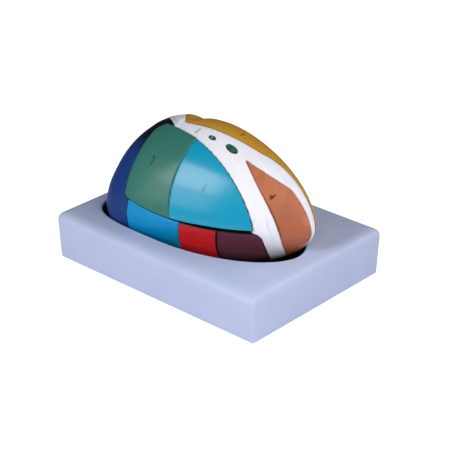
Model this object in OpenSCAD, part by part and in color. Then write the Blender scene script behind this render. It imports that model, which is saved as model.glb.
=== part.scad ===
// Enlarged teaching model of a thalamus, resting in the recess of its base.
// Millimetres, +Z up, +X towards the tapering front end of the thalamus.
// The origin is the middle of the base's underside, and the side of the
// thalamus that shows the lateral nuclei faces -Y.

/* [Base] */
// Length of the base
base_length = 220; // [214:1:300]
// Depth of the base from front to back
base_depth = 160; // [146:1:240]
// Height of the base
base_height = 40; // [36:1:46]
// Radius of the upright corners of the base
base_corner_radius = 5; // [2:0.5:20]
// How far the rounded upper edge runs in over the top
base_edge_run = 12; // [4:0.5:13]
// How far the rounded upper edge drops down the sides
base_edge_drop = 7; // [3:0.5:12]
// How far each side leans in towards the underside
base_draft = 1.5; // [0:0.1:3]
// Thickness of the floor under the recess
floor_thickness = 12; // [8:0.5:14]

/* [Recess] */
// Distance from the middle of the base to the rear end of the recess
recess_rear = 96; // [90:0.5:97]
// Distance from the middle of the base to the front end of the recess
recess_front = 90; // [88:0.5:96]
// Half the width of the recess
recess_half_width = 54; // [52.5:0.5:58]
// Place of the widest point of the recess along the base
recess_widest_x = -12; // [-30:1:0]
// Place of the recess's centre line across the base
recess_centre_y = -4.5; // [-5.5:0.5:-2]
// Radius of the rounded lip round the recess
recess_lip = 1.6; // [0.5:0.1:3]

/* [Thalamus] */
// Distance from the middle of the base to the rear end of the thalamus
body_rear = 85; // [80:0.5:88]
// Distance from the middle of the base to the front end of the thalamus
body_front = 96; // [92:0.5:102]
// Half the width of the thalamus at its widest
body_half_width = 51; // [47:0.5:51]
// Rise of the crest above the widest level
body_rise = 65.5; // [58:0.5:76]
// Depth of the full round underside below the widest level
body_drop = 49; // [44:0.5:54]
// Height of the widest level above the underside of the base
widest_level = 54.5; // [53:0.5:56]
// Place of the widest section along the thalamus
body_widest_x = -45; // [-56:1:-36]
// Place of the highest section along the thalamus
body_highest_x = -12; // [-24:1:4]
// Lean of the crest towards the back, sideways per unit of height
crest_lean = 0.16; // [0.08:0.01:0.24]
// Fullness of the blunt rear end
rear_fullness = 3.1; // [2.4:0.1:3.6]
// Fullness of the tapering front end
front_fullness = 1.6; // [1.5:0.05:1.9]
// Fullness of the front end's underside
underside_fullness = 1.75; // [1.5:0.05:2.2]

/* [Nuclei] */
// How far the raised nuclei stand proud of the two low ones in the lower row
nucleus_relief = 1; // [0:0.1:2]
// How far the lamina stands proud of the same surface
lamina_relief = 0.6; // [0:0.1:1.5]
// Clearance between neighbouring pieces
seam = 0.3; // [0.2:0.05:0.5]
// Width of the open seam under the upper row of lateral nuclei
row_seam = 1.2; // [0.3:0.1:1.6]
// Place where the lower row of lateral nuclei begins behind
lower_row_x = -46.5; // [-49:0.5:-42]
// Depth to which the lower row reaches in under the lamina
lower_row_y = -5; // [-8:0.5:-2]
// Length of the large oval nucleus in the lamina
large_oval_length = 11.5; // [8:0.5:14]
// Length of the small oval nucleus in the lamina
small_oval_length = 7; // [5:0.5:10]
// Depth of the two oval nuclei
oval_depth = 9; // [4:0.5:14]
// Radius of the low hump at the rear of the medial nucleus
hump_radius = 16; // [12:0.5:28]
// Height of the hump over the surface round it
hump_height = 0.6; // [0.4:0.1:3]

/* [Smoothness] */
// Cross-sections along the thalamus
body_rings = 36; // [24:2:44]
// Points round each cross-section
body_points = 44; // [32:4:56]

/* [Hidden] */
// Size of a cutting shape, larger than the thalamus
reach = 240;
// Shape of the base's upper edge and of the recess's two ends
base_edge_fullness = 2.4;
recess_rear_fullness = 3.9;
recess_front_fullness = 1.9;
// Course of the thalamus's middle: drift and rise per unit of length
body_centre_y = -2;
body_sway = 0.08;
body_slant = 0.05;
// Lines between the pieces, each from a start to an end with a sideways bow.
// Seen from the front, as x and z
row_line = [[lower_row_x, 63], [62, 59.6], -4.8];
posterior_line = [[-52.7, 68.6], [-54.6, 118], 0];
posterior_corner = [-51, 65.2];
dorsal_line = [[-5, 52], [-8.5, 118], 3.2];
ventral_lateral_line = [[-3.6, 10], [3, 62], 0];
ventral_anterior_line = [[22.6, 10], [35.4, 62], 0];
foot_line = [[57, 20], [62, 59.6], -8.8];
foot_front_line = [[68.5, 24], [78.8, row_line[1].y + 1], -5.9];
rear_of_row = [[lower_row_x - 1, 0], [lower_row_x - 1, 62], 0];
front_of_row = [[reach / 2, 0], [reach / 2, 62], 0];
// Seen from above, as x and y
tail_front = [-90, 27.2];
tail_back = [-80.6, 51];
lamina_front = [[-36, -10.3], [70, -25.7], 0.8];
lamina_back_rear = [[-33, -1.6], [40, 8], -1];
lamina_back_front = [[40, 8], [104, 5.6], 6.6];
wedge_tip = [35, -5.3];
wedge_front = [wedge_tip, [100, -10.5], -6.1];
wedge_back_rear = [wedge_tip, [74, 4.6], -1.6];
wedge_back_front = [[74, 4.6], [104, 2.4], 1.2];
shoulder = [[-37, -10.2], [-46.5, -8.6], [-51.2, -13.2], [-56, -23]];
large_oval_at = [21, -5.4];
small_oval_at = [1.2, -6.6];
oval_roundness = [1, 0.52];
hump_at = [-45, 14];
edge_steps = 5;        // facets along each rounded edge
bow_steps = 8;         // facets along each bowed line
recess_steps = 26;     // facets along each side of the recess
oval_sides = 24;

// Outline along a length: 1 at its peak and 0 at both ends
function bulge(x, peak, rear, front, rear_full, front_full) =
    let (t = x < peak ? (peak - x) / (peak - rear) : (x - peak) / (front - peak),
         n = x < peak ? rear_full : front_full)
    pow(max(0, 1 - pow(min(1, max(0, t)), n)), 1 / n);

// Points along a line with a shallow bow
function bowed(line) =
    let (start = line[0], run = line[1] - line[0], side = [-run.y, run.x] / norm(run))
    [for (i = [0:bow_steps])
        let (t = i / bow_steps) start + run * t + side * line[2] * 4 * t * (1 - t)];

function reversed(points) = [for (i = [len(points) - 1:-1:0]) points[i]];
function shifted(points, step) = [for (p = points) p + step];

// Closed solid through a stack of rings that all have as many points
module loft(rings) {
    count = len(rings[0]);
    last = len(rings) - 1;
    polyhedron(
        points = [for (ring = rings) each ring],
        faces = concat(
            [[for (j = [0:count - 1]) j]],
            [for (i = [0:last - 1], j = [0:count - 1])
                let (a = i * count + j, b = i * count + (j + 1) % count)
                each [[a, a + count, b + count], [a, b + count, b]]],
            [[for (j = [count - 1:-1:0]) last * count + j]]));
}

// Rounded rectangle of the base's outline, drawn in by an inset
function base_ring(z, inset) =
    let (r = max(1, base_corner_radius - inset),
         x = base_length / 2 - inset - r, y = base_depth / 2 - inset - r)
    [for (corner = [[1, 1, 0], [-1, 1, 90], [-1, -1, 180], [1, -1, 270]], i = [0:edge_steps])
        let (a = corner[2] + 90 * i / edge_steps)
        [corner.x * x + r * cos(a), corner.y * y + r * sin(a), z]];

// Outline of the recess, grown outwards
function recess_ring(z, grow) =
    let (rear = -recess_rear - grow, front = recess_front + grow)
    [for (side = [1, -1], i = [0:recess_steps - 1])
        let (x = (front + rear) / 2 + side * (front - rear) / 2 * cos(180 * i / recess_steps),
             y = side * (recess_half_width + grow)
                 * bulge(x, recess_widest_x, rear, front,
                     recess_rear_fullness, recess_front_fullness))
        [x, recess_centre_y + y, z]];

// Cross-section of the thalamus at x, grown by a relief
function body_ring(x, relief) =
    let (wide = (body_half_width + relief) * body_bulge(x, body_widest_x, relief),
         high = (body_rise + relief) * body_bulge(x, body_highest_x, relief),
         deep = (body_drop + relief) * body_bulge(x, body_highest_x, relief, underside_fullness))
    [for (j = [0:body_points - 1])
        let (a = 360 * j / body_points, up = (sin(a) > 0 ? high : deep) * sin(a))
        [x, body_middle_y(x) + wide * cos(a) + crest_lean * max(0, up), body_level(x) + up]];

function body_bulge(x, peak, relief, fullness = front_fullness) =
    bulge(x, peak, -body_rear - relief, body_front + relief, rear_fullness, fullness);
function body_middle_y(x) = body_centre_y + body_sway * x;
function body_level(x) = widest_level + body_slant * x;

// Height of the thalamus's upper surface over a point seen from above
function surface_z(p, relief) =
    let (wide = (body_half_width + relief) * body_bulge(p.x, body_widest_x, relief),
         high = (body_rise + relief) * body_bulge(p.x, body_highest_x, relief),
         d = p.y - body_middle_y(p.x),
         a = pow(crest_lean / wide, 2) + 1 / pow(high, 2),
         b = d * crest_lean / pow(wide, 2),
         c = pow(d / wide, 2) - 1)
    body_level(p.x) + (b + sqrt(b * b - a * c)) / a;

// The thalamus over a span of its length, level underneath where it rests on
// the recess's floor. It runs at least one cross-section past each end of the span.
module thalamus(relief, span = [-reach, reach]) {
    middle = (body_front - body_rear) / 2;
    half = (body_front + body_rear) / 2 + relief;
    spacing = half * PI / body_rings;
    intersection() {
        loft([for (i = [1:body_rings - 1])
            let (x = middle - half * cos(180 * i / body_rings))
            if (x > span[0] - spacing && x < span[1] + spacing) body_ring(x, relief)]);
        translate([-reach / 2, -reach / 2, floor_thickness]) cube(reach);
    }
}

// Upright block over an outline seen from above
module upright(outline) {
    linear_extrude(reach) polygon(outline);
}

// Block over an outline seen from the front, which ends behind at the depth y
module sideways(outline, y) {
    translate([0, y, 0]) rotate([90, 0, 0]) linear_extrude(reach) polygon(outline);
}

lamina_front_edge = concat([tail_front], bowed(lamina_front), [[reach, lamina_front[1].y]]);
lamina_back_edge = concat([tail_back], bowed(lamina_back_rear), bowed(lamina_back_front),
    [[reach, lamina_back_front[1].y]]);

// Space behind one of the lamina's edges, grown forwards by a margin
module behind(edge, margin) {
    upright(concat(shifted(edge, [0, -margin]), [[reach, reach], [-reach, reach]]));
}

// Space of the wedge between the lamina's two front branches
module wedge(margin) {
    upright(concat([wedge_tip - [2 * margin, 0]], shifted(bowed(wedge_front), [0, -margin]),
        shifted(reversed(bowed(wedge_back_front)), [0, margin]),
        shifted(reversed(bowed(wedge_back_rear)), [0, margin])));
}

// Space of the lamina's foot, under the rear part of the wedge
module foot(margin) {
    sideways(concat(shifted(bowed(foot_front_line), [margin, margin]),
        [[0, foot_front_line[1].y + margin], [0, 0], [foot_front_line[0].x + margin, 0]]), reach / 2);
}

// Space under the row line and in front of the lamina's foot
module lower_row(margin) {
    sideways(concat(shifted(bowed(row_line), [0, margin]),
        shifted(reversed(bowed(foot_line)), [margin, 0]),
        [[foot_line[0].x + margin, 0], [lower_row_x - margin, 0],
            [lower_row_x - margin, row_line[0].y]]), lower_row_y + margin);
}

// Space over the row line, in front of the lamina
module upper_row(margin) {
    difference() {
        sideways(concat([posterior_corner - [margin, margin]],
            shifted(bowed(posterior_line), [-margin, 0]),
            [[posterior_line[1].x, reach], [reach, reach], [reach, row_line[1].y]],
            reversed(bowed(row_line))), 0);
        behind(lamina_front_edge, margin);
        upright(concat([[shoulder[0].x, reach], [-reach, reach], [-reach, shoulder[3].y + margin]],
            shifted(reversed(shoulder), [0, margin])));
    }
}

// Space in front of a line seen from the front, as x and z, up to an end
module ahead_of(line, margin) {
    sideways(concat(shifted(bowed(line), [margin, 0]),
        [[line[1].x + margin, reach], [reach, reach], [reach, 0], [line[0].x + margin, 0]]), reach / 2);
}

// A nucleus of the lower row, from one upright line to the next
module lower_nucleus(relief, from, to, span) {
    difference() {
        intersection() {
            thalamus(relief, span);
            lower_row(0);
            ahead_of(from, 0);
        }
        ahead_of(to, -seam);
    }
}

function oval_span(at, length) = [at.x - length / 2, at.x + length / 2];

// Rounded plug set into the lamina from above, grown by a margin
module oval(at, length, margin) {
    translate([at.x, at.y, surface_z(at, lamina_relief) - oval_depth - margin])
        linear_extrude(reach)
            scale(oval_roundness) circle(d = length + 2 * margin, $fn = oval_sides);
}

module base() {
    color([0.74, 0.76, 0.87])
        difference() {
            loft(concat([base_ring(0, base_draft)],
                [for (i = [0:edge_steps])
                    let (a = 90 * i / edge_steps, n = 2 / base_edge_fullness)
                    base_ring(base_height - base_edge_drop * (1 - pow(sin(a), n)),
                        base_edge_run * (1 - pow(cos(a), n)))]));
            loft(concat([recess_ring(floor_thickness, 0)],
                [for (i = [0:edge_steps])
                    let (a = 90 * i / edge_steps)
                    recess_ring(base_height - recess_lip * (1 - sin(a)), recess_lip * (1 - cos(a)))],
                [recess_ring(base_height + 1, recess_lip)]));
        }
}

module pulvinar() {
    color([0.11, 0.21, 0.47])
        difference() {
            thalamus(nucleus_relief, [-reach, lamina_front[0].x]);
            behind(lamina_front_edge, seam);
            upper_row(seam);
            lower_row(seam);
        }
}

module lateral_posterior_nucleus() {
    color([0.2, 0.47, 0.41])
        difference() {
            intersection() {
                thalamus(nucleus_relief, [posterior_line[1].x, dorsal_line[0].x]);
                upper_row(0);
            }
            lower_row(seam);
            behind(lamina_front_edge, seam);
            ahead_of(dorsal_line, -seam);
        }
}

module lateral_dorsal_nucleus() {
    color([0.1, 0.63, 0.78])
        difference() {
            intersection() {
                thalamus(nucleus_relief, [dorsal_line[1].x - dorsal_line[2], foot_line[1].x]);
                upper_row(0);
                ahead_of(dorsal_line, 0);
            }
            lower_row(row_seam);
            behind(lamina_front_edge, seam);
        }
}

module ventral_posterior_nucleus() {
    color([0.04, 0.5, 0.73])
        lower_nucleus(nucleus_relief, rear_of_row, ventral_lateral_line,
            [lower_row_x, ventral_lateral_line[1].x]);
}

module ventral_lateral_nucleus() {
    color([0.68, 0.1, 0.13])
        lower_nucleus(0, ventral_lateral_line, ventral_anterior_line,
            [ventral_lateral_line[0].x, ventral_anterior_line[1].x]);
}

module ventral_anterior_nucleus() {
    color([0.25, 0.12, 0.17])
        lower_nucleus(0, ventral_anterior_line, front_of_row,
            [ventral_anterior_line[0].x, foot_line[1].x - foot_line[2]]);
}

module medullary_lamina() {
    color([0.93, 0.93, 0.94])
        difference() {
            thalamus(lamina_relief);
            upright(concat([[-reach, -reach]], [[-reach, tail_front.y]], lamina_front_edge,
                [[reach, -reach]]));
            behind(lamina_back_edge, 0);
            difference() {
                wedge(seam);
                foot(0);
            }
            lower_row(seam);
            oval(large_oval_at, large_oval_length, seam);
            oval(small_oval_at, small_oval_length, seam);
        }
}

module medial_nucleus() {
    color([0.76, 0.55, 0.17])
        intersection() {
            union() {
                thalamus(nucleus_relief);
                translate([hump_at.x, hump_at.y,
                    surface_z(hump_at, nucleus_relief) + hump_height - hump_radius])
                    sphere(hump_radius, $fn = 64);
            }
            behind(lamina_back_edge, -seam);
        }
}

module anterior_nucleus() {
    color([0.8, 0.46, 0.31])
        difference() {
            intersection() {
                thalamus(nucleus_relief, [wedge_tip.x, reach]);
                wedge(0);
            }
            foot(seam);
        }
}

module centromedian_nucleus() {
    color([0.1, 0.42, 0.26])
        intersection() {
            thalamus(nucleus_relief, oval_span(large_oval_at, large_oval_length));
            oval(large_oval_at, large_oval_length, 0);
        }
}

module parafascicular_nucleus() {
    color([0.1, 0.42, 0.26])
        intersection() {
            thalamus(nucleus_relief, oval_span(small_oval_at, small_oval_length));
            oval(small_oval_at, small_oval_length, 0);
        }
}

base();
pulvinar();
lateral_posterior_nucleus();
lateral_dorsal_nucleus();
ventral_posterior_nucleus();
ventral_lateral_nucleus();
ventral_anterior_nucleus();
medullary_lamina();
medial_nucleus();
anterior_nucleus();
centromedian_nucleus();
parafascicular_nucleus();
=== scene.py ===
"""Looks of the enlarged thalamus model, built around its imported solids.

Every nucleus gets a finely meshed, softly rounded block in brushed enamel, and
the base a satin moulded shell. Sizes are in millimetres and become metres when
a mesh is made.
"""

import logging
import math
from dataclasses import dataclass, field, replace
from enum import Enum
from functools import reduce
from typing import Any, Callable, Optional, Sequence, Union

import bpy
import numpy as np
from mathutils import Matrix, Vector


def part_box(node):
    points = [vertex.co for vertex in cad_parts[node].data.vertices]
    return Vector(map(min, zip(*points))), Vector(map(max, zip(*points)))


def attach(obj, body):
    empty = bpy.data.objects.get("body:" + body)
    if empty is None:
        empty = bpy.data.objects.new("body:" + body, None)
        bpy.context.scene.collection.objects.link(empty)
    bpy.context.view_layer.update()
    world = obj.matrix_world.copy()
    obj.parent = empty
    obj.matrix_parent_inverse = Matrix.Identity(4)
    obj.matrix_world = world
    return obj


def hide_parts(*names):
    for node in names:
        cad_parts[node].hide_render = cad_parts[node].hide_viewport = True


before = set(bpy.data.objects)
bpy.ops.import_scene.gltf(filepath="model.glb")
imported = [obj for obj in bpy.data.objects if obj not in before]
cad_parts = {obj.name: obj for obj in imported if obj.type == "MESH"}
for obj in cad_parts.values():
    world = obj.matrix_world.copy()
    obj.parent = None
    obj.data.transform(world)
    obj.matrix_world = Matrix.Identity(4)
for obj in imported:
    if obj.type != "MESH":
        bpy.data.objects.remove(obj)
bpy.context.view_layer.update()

MM = 0.001
REACH = 240.0
FRAME_PIXELS = 450

LOG = logging.getLogger("thalamus")

Array = np.ndarray
Pair = tuple[float, float]
Point = tuple[float, float, float]
Tone = tuple[int, int, int]
Field = Callable[[Array, Array, Array], Array]
Number = Union["Value", float]


class Slot(Enum):
    """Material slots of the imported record."""

    BASE = "base_plastic"
    NAVY = "navy_enamel"
    GREEN = "green_enamel"
    CYAN = "cyan_enamel"
    BLUE = "blue_enamel"
    RED = "red_enamel"
    MAROON = "maroon_enamel"
    WHITE = "white_enamel"
    OCHRE = "ochre_enamel"
    TERRACOTTA = "terracotta_enamel"
    LEAF = "leaf_enamel"


def linear(tone: Tone) -> tuple[float, float, float, float]:
    """Turns a screen colour into the linear colour that a shader takes.

    Args:
        tone: Red, green and blue from 0 to 255.

    Returns:
        The linear colour with full opacity.
    """
    parts = [c / 255 for c in tone]
    return (*[c / 12.92 if c <= 0.04045 else ((c + 0.055) / 1.055) ** 2.4 for c in parts], 1.0)


# Shader maths


class Value:
    """A number or colour on a socket, on which arithmetic adds Math nodes."""

    def __init__(self, shader: "Shader", socket: Optional[bpy.types.NodeSocket]) -> None:
        """Keeps the shader and the socket."""
        self.shader = shader
        self.socket = socket

    def _math(self, operation: str, *terms: Number) -> "Value":
        """Adds one Math node on the given terms."""
        return self.shader.node("ShaderNodeMath", {"operation": operation}, dict(enumerate(terms)))

    def __add__(self, other: Number) -> "Value":
        """Adds a number."""
        return self._math("ADD", self, other)

    __radd__ = __add__

    def __sub__(self, other: Number) -> "Value":
        """Takes a number away."""
        return self._math("SUBTRACT", self, other)

    def __rsub__(self, other: float) -> "Value":
        """Takes this away from a number."""
        return self._math("SUBTRACT", other, self)

    def __mul__(self, other: Number) -> "Value":
        """Multiplies by a number."""
        return self._math("MULTIPLY", self, other)

    __rmul__ = __mul__

    def least(self, other: Number) -> "Value":
        """Takes the smaller of two numbers."""
        return self._math("MINIMUM", self, other)

    def most(self, other: Number) -> "Value":
        """Takes the larger of two numbers."""
        return self._math("MAXIMUM", self, other)

    def ramp(self, start: float, end: float) -> "Value":
        """Eases from 0 where this is start to 1 where it is end.

        Args:
            start: The value that gives 0.
            end: The value that gives 1.

        Returns:
            The eased number, kept between 0 and 1.
        """
        if start > end:
            return 1 - self.ramp(end, start)
        return self.shader.node(
            "ShaderNodeMapRange",
            {"interpolation_type": "SMOOTHSTEP"},
            {"Value": self, "From Min": start, "From Max": end, "To Min": 0.0, "To Max": 1.0},
        )


class Shader:
    """The node tree of a material or of the world, built from expressions."""

    def __init__(self, owner: Union[bpy.types.Material, bpy.types.World]) -> None:
        """Starts with the owner's tree emptied.

        Args:
            owner: The material or world.
        """
        self.owner = owner
        self.owner.use_nodes = True
        self.tree = self.owner.node_tree
        self.tree.nodes.clear()

    def node(
        self, kind: str, settings: dict[str, Any], inputs: dict[Any, Any], output: Any = 0
    ) -> Value:
        """Adds a node.

        Args:
            kind: The node's type.
            settings: Its properties, which are set first.
            inputs: Numbers, vectors or Values for its sockets by name or index.
            output: Name or index of the socket that is returned.

        Returns:
            The output socket as a Value.
        """
        made = self.tree.nodes.new(kind)
        for name, value in settings.items():
            setattr(made, name, value)
        for name, value in inputs.items():
            if isinstance(value, Value):
                self.tree.links.new(value.socket, made.inputs[name])
            else:
                made.inputs[name].default_value = value
        return Value(self, made.outputs[output] if len(made.outputs) else None)

    def place(self) -> Value:
        """Position on the object, in metres of the row frame."""
        return self.node("ShaderNodeTexCoord", {}, {}, "Object")

    def along(self, axis: str) -> Value:
        """Position on the object along one axis, in metres of the row frame."""
        return self.node("ShaderNodeSeparateXYZ", {}, {0: self.place()}, axis)

    def vector(self, operation: str, inputs: dict[Any, Any], output: Any = 0) -> Value:
        """Adds one Vector Math node on the given vectors and numbers."""
        return self.node("ShaderNodeVectorMath", {"operation": operation}, inputs, output)

    def stretched(self, scale: Point) -> Value:
        """Position times a factor along each axis, for grain that runs one way."""
        return self.vector("MULTIPLY", {0: self.place(), 1: scale})

    def noise(self, vector: Value, scale: float = 1.0, detail: float = 2.0) -> Value:
        """Soft noise round 0.5.

        Args:
            vector: Where it is read.
            scale: Cycles per unit of the vector.
            detail: Octaves.

        Returns:
            The noise as a number.
        """
        return self.node(
            "ShaderNodeTexNoise",
            {"noise_dimensions": "3D"},
            {"Vector": vector, "Scale": scale, "Detail": detail, "Roughness": 0.5},
        )

    def clouds(self, scale: float, levels: Pair) -> Value:
        """Soft clouds over the object, from 0 to 1."""
        return self.noise(self.place(), scale, 3.0).ramp(*levels)

    def mesh_value(self, name: str) -> Value:
        """A number kept on the mesh's points, in millimetres."""
        return self.node("ShaderNodeAttribute", {"attribute_name": name}, {}, "Fac")

    def mix(self, start: Union[Value, Tone], end: Union[Value, Tone], factor: Value) -> Value:
        """Colour between two colours.

        Args:
            start: The colour at factor 0, a Tone or a Value.
            end: The colour at factor 1, a Tone or a Value.
            factor: Share of the second colour.

        Returns:
            The mixed colour.
        """
        sides = [c if isinstance(c, Value) else linear(c) for c in (start, end)]
        return self.node(
            "ShaderNodeMix", {"data_type": "RGBA"}, {0: factor, 6: sides[0], 7: sides[1]}, 2
        )

    def bump(self, height: Value, distance: float) -> Value:
        """Normal of a slightly raised surface.

        Args:
            height: Height from 0 to 1.
            distance: Real height of 1, in metres.

        Returns:
            The bent normal.
        """
        return self.node(
            "ShaderNodeBump", {}, {"Strength": 1.0, "Distance": distance, "Height": height}
        )

    def surface(self, inputs: dict[str, Any]) -> bpy.types.Material:
        """Closes the tree with one Principled shader.

        Args:
            inputs: Numbers or Values for its sockets.

        Returns:
            The finished material.
        """
        shaded = self.node("ShaderNodeBsdfPrincipled", {}, inputs)
        self.node("ShaderNodeOutputMaterial", {}, {"Surface": shaded})
        return self.owner


# Shapes


@dataclass(frozen=True)
class Border:
    """A line between two pieces with a shallow sideways bow."""

    start: Pair
    end: Pair
    bow: float = 0.0

    def points(self, steps: int = 24) -> Array:
        """Points along the line.

        Args:
            steps: Number of stretches.

        Returns:
            One row per point.
        """
        a, b = np.array(self.start), np.array(self.end)
        run = b - a
        side = np.array([-run[1], run[0]]) / np.linalg.norm(run)
        t = np.linspace(0, 1, steps + 1)[:, None]
        return a + run * t + side * self.bow * 4 * t * (1 - t)

    def extended(self, far: float = REACH) -> Array:
        """Points along the line, run on straight past both ends.

        Args:
            far: How far it runs on.

        Returns:
            One row per point.
        """
        p = self.points()
        first, last = p[0] - p[1], p[-1] - p[-2]
        before = p[0] + first / np.linalg.norm(first) * far
        after = p[-1] + last / np.linalg.norm(last) * far
        return np.vstack([before, p, after])


def outline_distance(u: Array, v: Array, outline: Array) -> Array:
    """Distance to a closed outline, below zero inside it.

    Args:
        u: First coordinates, of any shape that fits v's.
        v: Second coordinates.
        outline: Corners of the outline, one row each.

    Returns:
        The signed distances.
    """
    u, v = np.broadcast_arrays(u, v)
    best = np.full(u.shape, np.inf)
    within = np.zeros(u.shape, bool)
    for a, b in zip(outline, np.roll(outline, -1, axis=0)):
        edge = b - a
        length = edge @ edge
        if length < 1e-12:
            continue
        du, dv = u - a[0], v - a[1]
        t = np.clip((du * edge[0] + dv * edge[1]) / length, 0, 1)
        best = np.minimum(best, (du - t * edge[0]) ** 2 + (dv - t * edge[1]) ** 2)
        if edge[1]:
            crosses = (a[1] > v) != (b[1] > v)
            within ^= crosses & (u < a[0] + dv / edge[1] * edge[0])
    return np.where(within, -1, 1) * np.sqrt(best)


def rounded(fields: Sequence[Array], radius: float) -> Array:
    """Space that is inside every field, with its edges rounded.

    Args:
        fields: Signed distances.
        radius: Radius of the edges.

    Returns:
        The signed distance to the rounded shape.
    """
    top = reduce(np.maximum, fields)
    total = sum(np.maximum(f + radius, 0) ** 2 for f in fields)
    return np.minimum(top, -radius) + np.sqrt(total)


def blended(a: Array, b: Array, width: float) -> Array:
    """Union of two fields with a soft joint of a given width."""
    h = np.clip(0.5 + 0.5 * (b - a) / width, 0, 1)
    return b * (1 - h) + a * h - width * h * (1 - h)


def ease(x: Array, start: float, end: float) -> Array:
    """Eases from 0 at start to 1 at end."""
    t = np.clip((x - start) / (end - start), 0, 1)
    return t * t * (3 - 2 * t)


def egg_share(x: Array, peak: float, ends: tuple[Any, Any], fullness: Pair) -> Array:
    """Outline of an egg along its length, 1 at its peak and 0 at its ends.

    Args:
        x: Length.
        peak: Where the outline is fullest.
        ends: Where it ends at the rear and at the front.
        fullness: Fullness of the rear and of the front end.

    Returns:
        The share of the full width or height.
    """
    ahead = x >= peak
    t = np.where(ahead, (x - peak) / (ends[1] - peak), (peak - x) / (peak - ends[0]))
    n = np.where(ahead, fullness[1], fullness[0])
    return (1 - np.clip(t, 0, 1) ** n) ** (1 / n)


def slopes(points: Array, shape: Field, step: float = 0.04) -> Array:
    """Gradient of a field, by central differences.

    Args:
        points: One row per point.
        shape: The field.
        step: Distance to either side at which it is read.

    Returns:
        One gradient per point.
    """
    made = np.empty_like(points)
    for axis in range(3):
        shift = np.zeros(3)
        shift[axis] = step
        ahead, back = points + shift, points - shift
        made[:, axis] = (shape(*ahead.T) - shape(*back.T)) / (2 * step)
    return made


def settle(
    points: Array, shape: Field, passes: int = 2, most: float = 0.6, least: float = 0.2
) -> Array:
    """Moves points onto a field's surface.

    Args:
        points: One row per point.
        shape: The field.
        passes: Number of steps.
        most: Longest step.
        least: Smallest squared slope that a step reckons with.

    Returns:
        The moved points.
    """
    for _ in range(passes):
        gradient = slopes(points, shape)
        size = np.maximum((gradient**2).sum(1), least)
        step = np.clip(shape(*points.T) / size, -most, most)
        points = points - gradient * step[:, None]
    return points


def surface_net(shape: Field, low: Array, high: Array, pitch: float) -> tuple[Array, Array]:
    """Meshes a field's surface with one point per crossed cell of a grid.

    Args:
        shape: The field.
        low: Lowest corner of the grid.
        high: Highest corner.
        pitch: Size of a cell.

    Returns:
        The points and the four-sided faces.
    """
    axes = [np.arange(a - 1.5 * pitch, b + 2.5 * pitch, pitch) for a, b in zip(low, high)]
    x, y, z = axes[0][:, None, None], axes[1][None, :, None], axes[2][None, None, :]
    sizes = tuple(len(a) for a in axes)
    values = np.broadcast_to(shape(x, y, z), sizes)
    strides = np.array([sizes[1] * sizes[2], sizes[2], 1])
    cells, places, quads = [], [], []
    for axis in range(3):
        lower = values[tuple(slice(0, -1) if i == axis else slice(None) for i in range(3))]
        upper = values[tuple(slice(1, None) if i == axis else slice(None) for i in range(3))]
        index = np.argwhere((lower < 0) != (upper < 0))
        a, b = lower[tuple(index.T)], upper[tuple(index.T)]
        place = index.astype(float)
        place[:, axis] += a / (a - b)
        u, v = (axis + 1) % 3, (axis + 2) % 3
        corner, across, up = index @ strides, strides[u], strides[v]
        around = [corner, corner - across, corner - across - up, corner - up]
        cells += around
        places += [place] * 4
        quad = np.stack(around, 1)
        quads.append(np.where((a < 0)[:, None], quad, quad[:, ::-1]))
    flat = np.concatenate(cells)
    found, inverse = np.unique(flat, return_inverse=True)
    count = np.bincount(inverse)
    spots = np.concatenate(places)
    points = np.stack([np.bincount(inverse, spots[:, i]) / count for i in range(3)], 1)
    origin = np.array([a[0] for a in axes])
    return points * pitch + origin, np.searchsorted(found, np.concatenate(quads))


def relaxed(points: Array, faces: Array, share: float = 0.5) -> Array:
    """Draws each point towards the middle of its neighbours.

    Args:
        points: One row per point.
        faces: The faces' corners.
        share: Share of the way.

    Returns:
        The moved points.
    """
    pairs = np.concatenate([faces[:, [i, (i + 1) % faces.shape[1]]] for i in range(faces.shape[1])])
    pairs = np.concatenate([pairs, pairs[:, ::-1]])
    count = np.maximum(np.bincount(pairs[:, 0], minlength=len(points)), 1)
    middle = np.stack(
        [
            np.bincount(pairs[:, 0], points[pairs[:, 1], i], minlength=len(points)) / count
            for i in range(3)
        ],
        1,
    )
    return points + (middle - points) * share


def make_piece(
    name: str, points: Array, faces: Sequence[Array], smooth: bool = True
) -> bpy.types.Object:
    """Makes a mesh object from points in millimetres.

    Args:
        name: The piece's name.
        points: One row per point.
        faces: Groups of faces with the same number of corners, or single faces.
        smooth: Whether it is shaded smooth.

    Returns:
        The new object, in the scene.
    """
    mesh = bpy.data.meshes.new(name)
    corners = np.concatenate([np.asarray(f, np.int32).ravel() for f in faces])
    sizes = np.concatenate(
        [np.full(len(f), np.shape(f)[1], np.int32) if np.ndim(f) == 2 else [len(f)] for f in faces]
    )
    mesh.vertices.add(len(points))
    mesh.vertices.foreach_set("co", (points * MM).astype(np.float32).ravel())
    mesh.loops.add(len(corners))
    mesh.loops.foreach_set("vertex_index", corners)
    mesh.polygons.add(len(sizes))
    starts = np.concatenate([[0], np.cumsum(sizes)[:-1]]).astype(np.int32)
    mesh.polygons.foreach_set("loop_start", starts)
    mesh.polygons.foreach_set("use_smooth", np.full(len(sizes), smooth))
    mesh.update(calc_edges=True)
    mesh.validate()
    made = bpy.data.objects.new(name, mesh)
    bpy.context.scene.collection.objects.link(made)
    return made


def keep_value(piece: bpy.types.Object, name: str, values: Array) -> None:
    """Keeps a number on each point of a piece's mesh."""
    attribute = piece.data.attributes.new(name, "FLOAT", "POINT")
    attribute.data.foreach_set("value", np.asarray(values, np.float32))


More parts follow.
